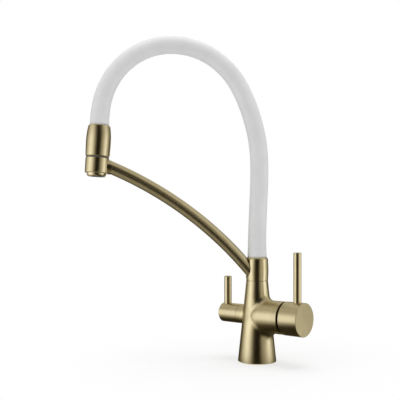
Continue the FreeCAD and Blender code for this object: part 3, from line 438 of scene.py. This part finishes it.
dress(["mixer_cap", "filter_cap"], cap_metal)
# painted shade: the dome gets a near-black brass colour that stands for the shade in the gap
dress(["cover_dome"],
      brushed_metal("dome_painted_shade", branch_centre, branch_axis, dark=(0.05, 0.04, 0.022),
                    light=(0.08, 0.065, 0.04), rough=0.5))

for lever, lever_x in (("mixer_lever", 0.0619), ("filter_lever", -0.0488)):
    dress([lever], brushed_metal(lever + "_brushed_brass", (lever_x, 0.0, 0.0), upright))

# ---- collar, arm and dock --------------------------------------------------------------------
# The collar is turned brass and swivels on the body. The arm is a bent brass tube, brushed round
# its bent line and let into the collar. Its far end carries the ring that holds the spray head.

dress(["swivel_collar"], brushed_metal("collar_brushed_brass", foot, upright))

spout_heading = math.radians(231.0)
outward = Vector((math.cos(spout_heading), math.sin(spout_heading), 0.0))
sideways = Vector((-outward.y, outward.x, 0.0))
bend_r = 0.472
bend_centre = outward * 0.36998 + Vector((0.0, 0.0, -0.18598))
arm_metal, tree, out = new_material("arm_brushed_brass")

place = node(tree, "ShaderNodeTexCoord").outputs["Object"]
from_centre = vectors(tree, "SUBTRACT", place, bend_centre)
aside = vectors(tree, "DOT_PRODUCT", from_centre, sideways, output="Value")
across = node(tree, "ShaderNodeVectorMath", {0: sideways, "Scale": aside}, operation="SCALE")
spoke = vectors(tree, "SUBTRACT", from_centre, across.outputs[0])
# from the bend's centre to the arm's line, and from there to the place
to_line = node(tree, "ShaderNodeVectorMath",
               {0: vectors(tree, "NORMALIZE", spoke), "Scale": bend_r}, operation="SCALE")
from_line = vectors(tree, "SUBTRACT", from_centre, to_line.outputs[0])
along_arm = vectors(tree, "CROSS_PRODUCT", sideways, spoke)
round_arm = node(tree, "ShaderNodeVectorTransform",
                 {0: vectors(tree, "CROSS_PRODUCT", along_arm, from_line)},
                 vector_type="VECTOR", convert_from="OBJECT", convert_to="WORLD").outputs[0]
bend = maths(tree, "ARCTAN2", vectors(tree, "DOT_PRODUCT", spoke, upright, output="Value"),
             vectors(tree, "DOT_PRODUCT", spoke, outward, output="Value"))
straightened = node(tree, "ShaderNodeCombineXYZ", {
    "X": maths(tree, "SUBTRACT", vectors(tree, "LENGTH", spoke, output="Value"), bend_r),
    "Y": aside, "Z": maths(tree, "MULTIPLY", bend, bend_r),
}).outputs[0]
brushed = node(tree, "ShaderNodeGroup", {"Place": straightened}, node_tree=brushing)
metal(tree, out, brushed.outputs["Lines"], brushed.outputs["Clouds"], round_arm, antique_dark,
      antique_light, satin)
dress(["holder_arm"], arm_metal)

dock_tilt = math.radians(3.5)
head_axis = Vector((0.0, 0.0, math.cos(dock_tilt))) - outward * math.sin(dock_tilt)
dock_centre = outward * 0.2064 + Vector((0.0, 0.0, 0.2619))
dress(["dock_ring"], brushed_metal("dock_brushed_brass", dock_centre, head_axis))

# ---- spray head ------------------------------------------------------------------------------
# A turned brass ferrule and nozzle on the hose's end, with a grey seal between ferrule and dock,
# and a plastic aerator in the mouth. The manifold inside is left as it came off the lathe.

dress(["head_ferrule", "nozzle_body"], brushed_metal("head_brushed_brass", dock_centre, head_axis))
lathe_brass = {"dark": (0.70, 0.52, 0.24), "light": (0.80, 0.62, 0.32), "rough": 0.30}
dress(["head_manifold"],
      brushed_metal("manifold_brass", dock_centre, head_axis, **lathe_brass))

moulding, source, result = group(
    "moulded_skin",
    [("Place", "NodeSocketVector"), ("Grain", "NodeSocketFloat")],
    [("Grain", "NodeSocketFloat"), ("Clouds", "NodeSocketFloat")],
)
grain = node(moulding, "ShaderNodeTexNoise", {
    "Vector": source.outputs["Place"], "Scale": source.outputs["Grain"], "Detail": 2.0,
})
clouds = node(moulding, "ShaderNodeTexNoise", {
    "Vector": source.outputs["Place"], "Scale": 45.0, "Detail": 3.0,
})
moulding.links.new(grain.outputs[0], result.inputs["Grain"])
moulding.links.new(clouds.outputs[0], result.inputs["Clouds"])


def moulded(name, dark, light, rough, depth=0.00001, grain=2500.0):
    """Plastic, rubber or ceramic with a fine moulded skin."""
    made, tree, out = new_material(name)
    place = node(tree, "ShaderNodeTexCoord").outputs["Object"]
    skin = node(tree, "ShaderNodeGroup", node_tree=moulding)
    tree.links.new(place, skin.inputs["Place"])
    skin.inputs["Grain"].default_value = grain
    tone = node(tree, "ShaderNodeMapRange", {"Value": skin.outputs["Clouds"], "From Min": 0.35,
                                             "From Max": 0.65})
    dull = node(tree, "ShaderNodeMapRange", {
        "Value": skin.outputs["Grain"], "To Min": rough - 0.06, "To Max": rough + 0.06,
    })
    bump = node(tree, "ShaderNodeBump", {"Height": skin.outputs["Grain"], "Distance": depth,
                                         "Strength": 0.6})
    surface = node(tree, "ShaderNodeBsdfPrincipled", {
        "Base Color": colour_between(tree, tone.outputs[0], dark, light),
        "Roughness": dull.outputs[0], "Normal": bump.outputs[0],
    })
    tree.links.new(surface.outputs[0], out.inputs["Surface"])
    return made


dress(["seat_washer", "aerator_rim"],
      moulded("grey_acetal_skin", (0.07, 0.07, 0.075), (0.10, 0.10, 0.105), 0.5))
white_plastic = moulded("white_acetal_skin", (0.72, 0.72, 0.70), (0.80, 0.80, 0.78), 0.42)
dress(["aerator_insert", "dock_liner"], white_plastic)

# ---- spout hose ------------------------------------------------------------------------------
# A thick white silicone sleeve that holds its own arch, from the collar to the spray head, with
# two water tubes inside. It swells a little where it is pushed over the collar and the head.

# control points of its centre line, outward from the tap's axis and up, in millimetres
hose_line = [
    (0.0, 135.9), (0.2, 152.0), (-0.4, 185.0), (-3.3, 233.4), (-3.2, 283.0), (9.5, 330.0),
    (30.9, 375.2), (71.2, 405.3), (121.8, 411.8), (168.0, 392.4), (199.0, 351.7), (203.7, 319.2),
    (203.9, 302.7),
]


def hose_tube(name, line, radii, wall, offset, resolution):
    """A hollow tube along a smooth line, made a mesh. Radii are in millimetres."""
    curve = bpy.data.curves.new(name, "CURVE")
    curve.dimensions = "3D"
    curve.bevel_depth = 0.001
    curve.bevel_resolution = resolution
    curve.resolution_u = 16
    spline = curve.splines.new("NURBS")
    spline.points.add(len(line) - 1)
    for point, (out_mm, up_mm), radius in zip(spline.points, line, radii):
        at = outward * out_mm / 1000 + Vector((0.0, 0.0, up_mm / 1000)) + sideways * offset
        point.co = (*at, 1.0)
        point.radius = radius
    spline.order_u = 4
    spline.use_endpoint_u = True
    drawn = show(name + "_line", curve)
    graph = bpy.context.evaluated_depsgraph_get()
    mesh = bpy.data.meshes.new_from_object(drawn.evaluated_get(graph))
    bpy.data.objects.remove(drawn)
    bm = bmesh.new()
    bm.from_mesh(mesh)
    bmesh.ops.remove_doubles(bm, verts=bm.verts, dist=1e-6)
    bmesh.ops.recalc_face_normals(bm, faces=bm.faces)
    bmesh.ops.solidify(bm, geom=bm.faces[:], thickness=wall)
    for face in bm.faces:
        face.smooth = True
    return from_bmesh(name, bm)


# its outer radius at those points, drawn thin at the top of the arch
hose_radii = [12.5, 11.75, 11.75, 11.75, 11.75, 11.7, 11.5, 11.2, 11.1, 11.2, 11.5, 11.75, 12.1]
hose_wall = 0.00265
hose = hose_tube("silicone_hose", hose_line, hose_radii, hose_wall, offset=0.0, resolution=12)
hose.data.materials.append(
    moulded("white_silicone_skin", (0.72, 0.72, 0.725), (0.745, 0.745, 0.75), 0.5, depth=0.00002,
            grain=1400.0))
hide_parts("hose_sleeve")
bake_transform(hose)

# ---- water tubes -----------------------------------------------------------------------------
# Two blue plastic tubes side by side inside the hose: a wide one for mixed water and a thin one
# for filtered water. Each is pushed over a barb of the swivel post and one of the head's manifold.

# the hose's line, begun and ended at the barbs
tube_line = [(0.0, 140.9)] + hose_line[1:-1] + [(203.6, 307.7)]
mixed_skin = moulded("mixed_tube_skin", (0.16, 0.34, 0.62), (0.20, 0.40, 0.68), 0.38,
                     depth=0.000005)
filtered_skin = moulded("filtered_tube_skin", (0.03, 0.12, 0.42), (0.05, 0.16, 0.48), 0.34,
                        depth=0.000005)
for name, radius, wall, offset, skin in (
    ("mixed_water_tube", 5.0, 0.0015, -0.0035, mixed_skin),
    ("filtered_water_tube", 3.0, 0.001, 0.0055, filtered_skin),
):
    tube = hose_tube("pushed_" + name, tube_line, [radius] * len(tube_line), wall, offset,
                     resolution=6)
    tube.data.materials.append(skin)
    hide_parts(name)
    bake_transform(tube)

# ---- inlet block, base and swivel ------------------------------------------------------------
# The parts under and inside the body: a brass inlet block pressed into the foot and the swivel
# post, both left as they came off the lathe, a black rubber gasket in the foot's groove, rubber
# rings on the post and a dark acetal glide ring under the collar.

dress(["inlet_block", "swivel_post"],
      brushed_metal("lathe_turned_brass", foot, upright, **lathe_brass))
arm_root = (0.0, 0.0, 0.12)
arm_axis = (outward * 0.19 + Vector((0.0, 0.0, 0.132))).normalized()
dress(["arm_anchor"], brushed_metal("anchor_brass", arm_root, arm_axis, **lathe_brass))
rubber = moulded("black_rubber_skin", (0.014, 0.014, 0.015), (0.026, 0.026, 0.027), 0.62)
dress(["base_gasket", "swivel_rings", "nozzle_gasket", "cartridge_seals", "filter_o_ring"], rubber)
dress(["glide_ring"], moulded("dark_acetal_skin", (0.03, 0.03, 0.032), (0.05, 0.05, 0.053), 0.45))
zinc_steel = {"dark": (0.48, 0.48, 0.47), "light": (0.60, 0.60, 0.58), "rough": 0.32}
dress(["lock_screw", "mixer_grub_screw", "filter_grub_screw"],
      brushed_metal("screw_steel", foot, upright, **zinc_steel))

# ---- mixer cartridge and filtered water valve ------------------------------------------------
# A ceramic disc cartridge: white acetal body and carrier, ground alumina discs, a steel stem on a
# pin, held by a turned brass nut. The filtered side is a turned brass headwork with two discs.

dress(["cartridge_base", "cartridge_body", "cartridge_carrier", "disc_driver"], white_plastic)
dress(["fixed_disc", "moving_disc", "filter_fixed_disc", "filter_moving_disc"],
      moulded("ground_alumina", (0.80, 0.78, 0.72), (0.86, 0.84, 0.78), 0.24, depth=0.000002))
dress(["cartridge_nut", "filter_headwork", "filter_spindle"],
      brushed_metal("valve_brass", branch_centre, branch_axis, **lathe_brass))
dress(["mixer_stem", "stem_pin"],
      brushed_metal("stem_steel", branch_centre, branch_axis, **zinc_steel))
